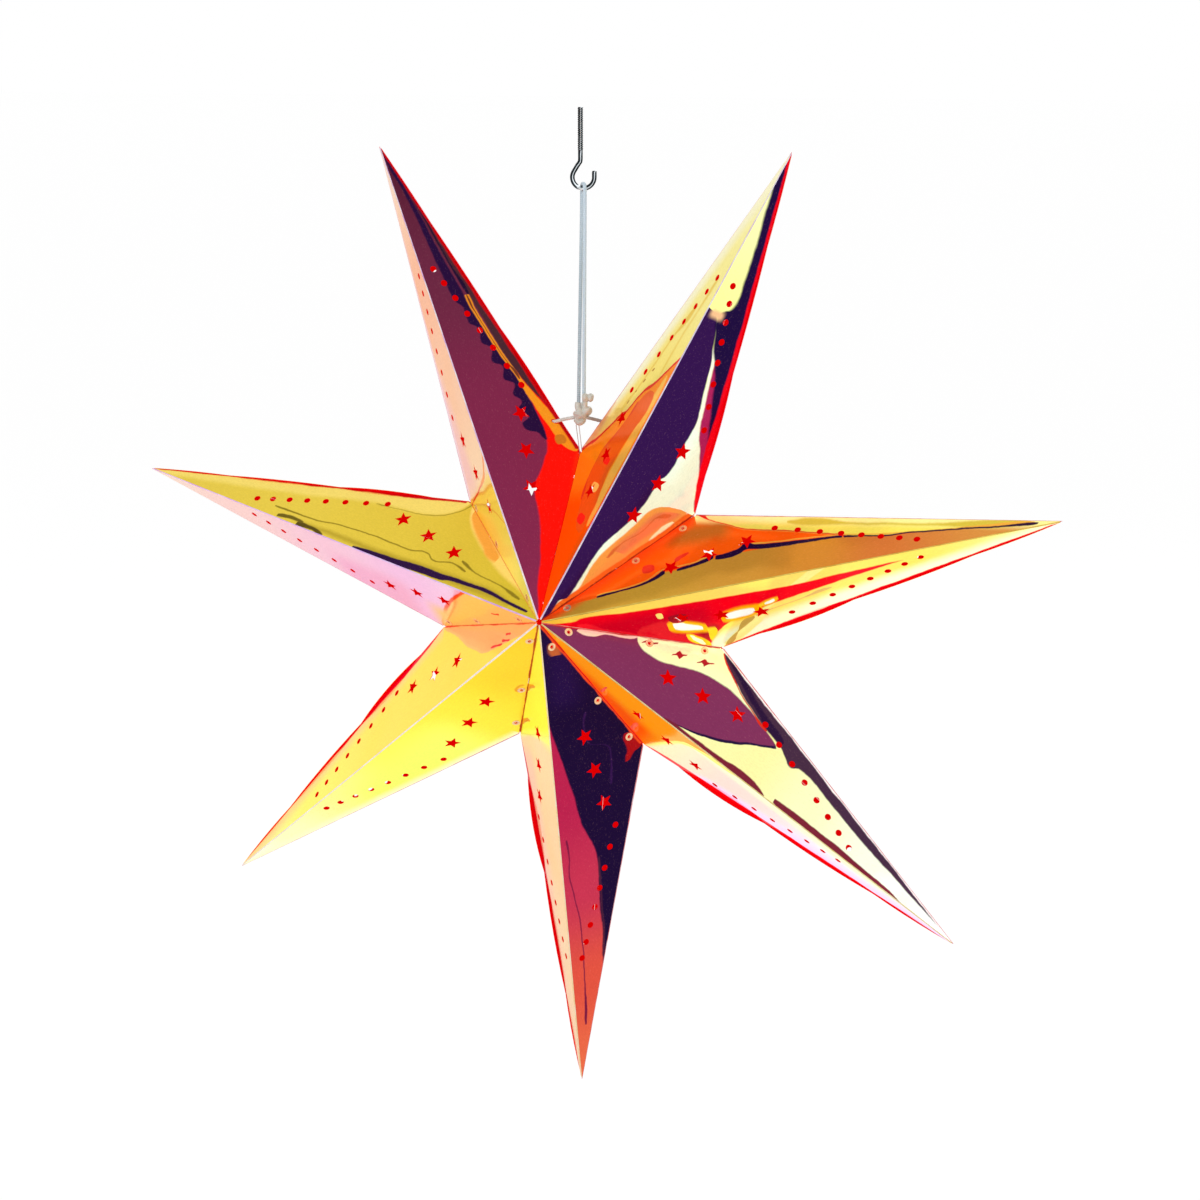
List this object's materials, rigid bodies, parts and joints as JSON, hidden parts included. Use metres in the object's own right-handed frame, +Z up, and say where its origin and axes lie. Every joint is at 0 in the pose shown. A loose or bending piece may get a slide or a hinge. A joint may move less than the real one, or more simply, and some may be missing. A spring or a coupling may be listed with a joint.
{
  "type": "folding star lantern",
  "caption": "Folding star lantern of pierced foil card with slim faceted points, joined by eyelets, tied shut, hung by a cord loop from a screw hook, with a small battery lamp inside.",
  "frame": {"origin": "on the axis of the hook's thread, at the plane of the surface it is screwed into", "axes": "+Z up along the hook's thread; -Y is the front, the star's flat mid-plane is parallel to XZ"},
  "size_m": [0.5823, 0.13, 0.5935],
  "materials": {
    "foil_card": "mirror-like metallised film on the outside, bright red inside",
    "eyelet_metal": "bright plated",
    "hook_chrome": "bright nickel-chrome",
    "loop_cord": "translucent white braid",
    "tie_cord": "white braid",
    "thread": "fine clear thread",
    "lamp_plastic": "satin white",
    "switch_plastic": "matte dark grey",
    "board": "white solder mask",
    "led_lens": "warm white lens",
    "diffuser": "frosted white",
    "cell_sleeve": "printed sleeve, plain",
    "contact_metal": "nickel-plated spring steel"
  },
  "bodies": {
    "hook": {"screw_hook": "hook_chrome"},
    "loop": {"hanging_loop": "loop_cord"},
    "tie": {"loop_knot": "loop_cord", "tie_cord": "tie_cord"},
    "front_left_1": {"point_1_front_left": "foil_card", "eyelets_front_1": "eyelet_metal"},
    "front_right_1": {"point_1_front_right": "foil_card"},
    "back_left_1": {"point_1_back_left": "foil_card", "eyelets_back_1": "eyelet_metal"},
    "back_right_1": {"point_1_back_right": "foil_card"},
    "front_left_2": {"point_2_front_left": "foil_card"},
    "front_right_2": {"point_2_front_right": "foil_card"},
    "back_left_2": {"point_2_back_left": "foil_card", "lamp_threads_upper": "thread"},
    "back_right_2": {"point_2_back_right": "foil_card"},
    "front_left_3": {"point_3_front_left": "foil_card", "eyelets_front_3": "eyelet_metal"},
    "front_right_3": {"point_3_front_right": "foil_card"},
    "back_left_3": {"point_3_back_left": "foil_card", "eyelets_back_3": "eyelet_metal"},
    "back_right_3": {"point_3_back_right": "foil_card"},
    "front_left_4": {"point_4_front_left": "foil_card", "eyelets_front_4": "eyelet_metal"},
    "front_right_4": {"point_4_front_right": "foil_card"},
    "back_left_4": {"point_4_back_left": "foil_card", "eyelets_back_4": "eyelet_metal"},
    "back_right_4": {"point_4_back_right": "foil_card"},
    "front_left_5": {"point_5_front_left": "foil_card", "eyelets_front_5": "eyelet_metal"},
    "front_right_5": {"point_5_front_right": "foil_card"},
    "back_left_5": {"point_5_back_left": "foil_card", "eyelets_back_5": "eyelet_metal"},
    "back_right_5": {"point_5_back_right": "foil_card"},
    "front_left_6": {"point_6_front_left": "foil_card", "eyelets_front_6": "eyelet_metal"},
    "front_right_6": {"point_6_front_right": "foil_card"},
    "back_left_6": {"point_6_back_left": "foil_card", "eyelets_back_6": "eyelet_metal"},
    "back_right_6": {"point_6_back_right": "foil_card"},
    "front_left_7": {"point_7_front_left": "foil_card", "eyelets_front_7": "eyelet_metal"},
    "front_right_7": {"point_7_front_right": "foil_card"},
    "back_left_7": {"point_7_back_left": "foil_card", "eyelets_back_7": "eyelet_metal"},
    "back_right_7": {"point_7_back_right": "foil_card"},
    "lamp": {"lamp_threads_lower": "thread", "lamp_cap": "lamp_plastic"},
    "lamp_tube": {"lamp_housing": "lamp_plastic", "led_board": "board", "leds": "led_lens", "lamp_diffuser": "diffuser", "battery_cells": "cell_sleeve", "battery_contacts": "contact_metal"},
    "switch": {"lamp_switch_slider": "switch_plastic"}
  },
  "joints": [
    {"name": "loop_swing", "type": "hinge", "parent": "hook", "child": "loop", "pos_m": [0.00158, 0.00063, -0.0223], "axis": [0.9295, 0.3688, 0], "range_deg": [-35, 35]},
    {"name": "star_turn", "type": "hinge", "parent": "loop", "child": "tie", "pos_m": [0, 0, -0.1501], "axis": [0, 0, 1], "range_deg": [-180, 180]},
    {"name": "star_rock", "type": "hinge", "parent": "tie", "child": "back_left_2", "pos_m": [0, 0, -0.1603], "axis": [0.9818, 0.19, 0], "range_deg": [-30, 30]},
    {"name": "side_left_2", "type": "hinge", "parent": "back_left_2", "child": "front_left_2", "pos_m": [0.06508, 0, -0.08865], "axis": [-0.5901, 0, -0.8073], "range_deg": [0, 15.33]},
    {"name": "star_fold", "type": "hinge", "parent": "front_left_2", "child": "front_right_2", "pos_m": [0.06508, -0.0327, -0.13476], "axis": [0.4239, 0.213, 0.8803], "range_deg": [0, 15]},
    {"name": "side_right_2", "type": "hinge", "parent": "front_right_2", "child": "back_right_2", "pos_m": [0.10113, 0, -0.10601], "axis": [-0.2633, 0, -0.9647], "range_deg": [0, 15.33]},
    {"name": "valley_2_3", "type": "hinge", "parent": "front_right_2", "child": "front_left_3", "pos_m": [0.03604, -0.0327, -0.24116], "axis": [-0.6377, -0.5786, -0.5085], "range_deg": [0, 16.01]},
    {"name": "side_left_3", "type": "hinge", "parent": "front_left_3", "child": "back_left_3", "pos_m": [0.18228, 0, -0.20778], "axis": [0.9991, 0, 0.042], "range_deg": [0, 15.33]},
    {"name": "ridge_3", "type": "hinge", "parent": "front_left_3", "child": "front_right_3", "pos_m": [0.14624, -0.0327, -0.23652], "axis": [0.9526, 0.213, 0.2174], "range_deg": [0, 15.5]},
    {"name": "side_right_3", "type": "hinge", "parent": "front_right_3", "child": "back_right_3", "pos_m": [0.19118, 0, -0.24678], "axis": [-0.9184, 0, -0.3956], "range_deg": [0, 15.33]},
    {"name": "valley_3_4", "type": "hinge", "parent": "front_right_3", "child": "front_left_4", "pos_m": [0.04494, -0.0327, -0.28016], "axis": [-0.7952, -0.5786, 0.1815], "range_deg": [0, 16.01]},
    {"name": "side_left_4", "type": "hinge", "parent": "front_left_4", "child": "back_left_4", "pos_m": [0.16222, 0, -0.37368], "axis": [0.6558, 0, -0.7549], "range_deg": [0, 15.33]},
    {"name": "ridge_4", "type": "hinge", "parent": "front_left_4", "child": "front_right_4", "pos_m": [0.11728, -0.0327, -0.36342], "axis": [0.7639, 0.213, -0.6092], "range_deg": [0, 15.5]},
    {"name": "side_right_4", "type": "hinge", "parent": "front_right_4", "child": "back_right_4", "pos_m": [0.13728, 0, -0.40496], "axis": [-0.8819, 0, 0.4714], "range_deg": [0, 15.33]},
    {"name": "valley_4_5", "type": "hinge", "parent": "front_right_4", "child": "front_left_5", "pos_m": [0.02, -0.0327, -0.31144], "axis": [-0.3539, -0.5786, 0.7349], "range_deg": [0, 16.01]},
    {"name": "side_left_5", "type": "hinge", "parent": "front_left_5", "child": "back_left_5", "pos_m": [0.02, 0, -0.46143], "axis": [-0.1814, 0, -0.9834], "range_deg": [0, 15.33]},
    {"name": "ridge_5", "type": "hinge", "parent": "front_left_5", "child": "front_right_5", "pos_m": [0, -0.0327, -0.4199], "axis": [0, 0.213, -0.9771], "range_deg": [0, 15.5]},
    {"name": "side_right_5", "type": "hinge", "parent": "front_right_5", "child": "back_right_5", "pos_m": [-0.02, 0, -0.46143], "axis": [-0.1814, 0, 0.9834], "range_deg": [0, 15.33]},
    {"name": "valley_5_6", "type": "hinge", "parent": "front_right_5", "child": "front_left_6", "pos_m": [-0.02, -0.0327, -0.31144], "axis": [0.3539, -0.5786, 0.7349], "range_deg": [0, 16.01]},
    {"name": "side_left_6", "type": "hinge", "parent": "front_left_6", "child": "back_left_6", "pos_m": [-0.13728, 0, -0.40496], "axis": [-0.8819, 0, -0.4714], "range_deg": [0, 15.33]},
    {"name": "ridge_6", "type": "hinge", "parent": "front_left_6", "child": "front_right_6", "pos_m": [-0.11728, -0.0327, -0.36342], "axis": [-0.7639, 0.213, -0.6092], "range_deg": [0, 15.5]},
    {"name": "side_right_6", "type": "hinge", "parent": "front_right_6", "child": "back_right_6", "pos_m": [-0.16222, 0, -0.37368], "axis": [0.6558, 0, 0.7549], "range_deg": [0, 15.33]},
    {"name": "valley_6_7", "type": "hinge", "parent": "front_right_6", "child": "front_left_7", "pos_m": [-0.04494, -0.0327, -0.28016], "axis": [0.7952, -0.5786, 0.1815], "range_deg": [0, 16.01]},
    {"name": "side_left_7", "type": "hinge", "parent": "front_left_7", "child": "back_left_7", "pos_m": [-0.19118, 0, -0.24678], "axis": [-0.9184, 0, 0.3956], "range_deg": [0, 15.33]},
    {"name": "ridge_7", "type": "hinge", "parent": "front_left_7", "child": "front_right_7", "pos_m": [-0.14624, -0.0327, -0.23652], "axis": [-0.9526, 0.213, 0.2174], "range_deg": [0, 15.5]},
    {"name": "side_right_7", "type": "hinge", "parent": "front_right_7", "child": "back_right_7", "pos_m": [-0.18228, 0, -0.20778], "axis": [0.9991, 0, -0.042], "range_deg": [0, 15.33]},
    {"name": "valley_7_1", "type": "hinge", "parent": "front_right_7", "child": "front_left_1", "pos_m": [-0.03604, -0.0327, -0.24116], "axis": [0.6377, -0.5786, -0.5085], "range_deg": [0, 16.01]},
    {"name": "side_left_1", "type": "hinge", "parent": "front_left_1", "child": "back_left_1", "pos_m": [-0.10113, 0, -0.10601], "axis": [-0.2633, 0, 0.9647], "range_deg": [0, 15.33]},
    {"name": "ridge_1", "type": "hinge", "parent": "front_left_1", "child": "front_right_1", "pos_m": [-0.06508, -0.0327, -0.13476], "axis": [-0.4239, 0.213, 0.8803], "range_deg": [0, 15.5]},
    {"name": "side_right_1", "type": "hinge", "parent": "front_right_1", "child": "back_right_1", "pos_m": [-0.06508, 0, -0.08865], "axis": [0.5901, 0, -0.8073], "range_deg": [0, 15.33]},
    {"name": "lamp_swing", "type": "hinge", "parent": "back_left_2", "child": "lamp", "pos_m": [0, 0, -0.1777], "axis": [1, 0, 0], "range_deg": [-8, 8]},
    {"name": "lamp_twist", "type": "hinge", "parent": "lamp", "child": "lamp_tube", "pos_m": [0, 0, -0.2379], "axis": [0, 0, 1], "range_deg": [0, 30]},
    {"name": "switch_slide", "type": "slide", "parent": "lamp_tube", "child": "switch", "axis": [0, 0, 1], "range_m": [0, 0.0037]}
  ],
  "couplings": [
    {"joint": "side_left_2", "follows": "star_fold", "ratio": 0.9885},
    {"joint": "side_right_2", "follows": "star_fold", "ratio": 0.9885},
    {"joint": "valley_2_3", "follows": "star_fold", "ratio": 1.0343},
    {"joint": "side_left_3", "follows": "star_fold", "ratio": 0.9885},
    {"joint": "ridge_3", "follows": "star_fold", "ratio": 1},
    {"joint": "side_right_3", "follows": "star_fold", "ratio": 0.9885},
    {"joint": "valley_3_4", "follows": "star_fold", "ratio": 1.0343},
    {"joint": "side_left_4", "follows": "star_fold", "ratio": 0.9885},
    {"joint": "ridge_4", "follows": "star_fold", "ratio": 1},
    {"joint": "side_right_4", "follows": "star_fold", "ratio": 0.9885},
    {"joint": "valley_4_5", "follows": "star_fold", "ratio": 1.0343},
    {"joint": "side_left_5", "follows": "star_fold", "ratio": 0.9885},
    {"joint": "ridge_5", "follows": "star_fold", "ratio": 1},
    {"joint": "side_right_5", "follows": "star_fold", "ratio": 0.9885},
    {"joint": "valley_5_6", "follows": "star_fold", "ratio": 1.0343},
    {"joint": "side_left_6", "follows": "star_fold", "ratio": 0.9885},
    {"joint": "ridge_6", "follows": "star_fold", "ratio": 1},
    {"joint": "side_right_6", "follows": "star_fold", "ratio": 0.9885},
    {"joint": "valley_6_7", "follows": "star_fold", "ratio": 1.0343},
    {"joint": "side_left_7", "follows": "star_fold", "ratio": 0.9885},
    {"joint": "ridge_7", "follows": "star_fold", "ratio": 1},
    {"joint": "side_right_7", "follows": "star_fold", "ratio": 0.9885},
    {"joint": "valley_7_1", "follows": "star_fold", "ratio": 1.0343},
    {"joint": "side_left_1", "follows": "star_fold", "ratio": 0.9885},
    {"joint": "ridge_1", "follows": "star_fold", "ratio": 1},
    {"joint": "side_right_1", "follows": "star_fold", "ratio": 0.9885}
  ]
}
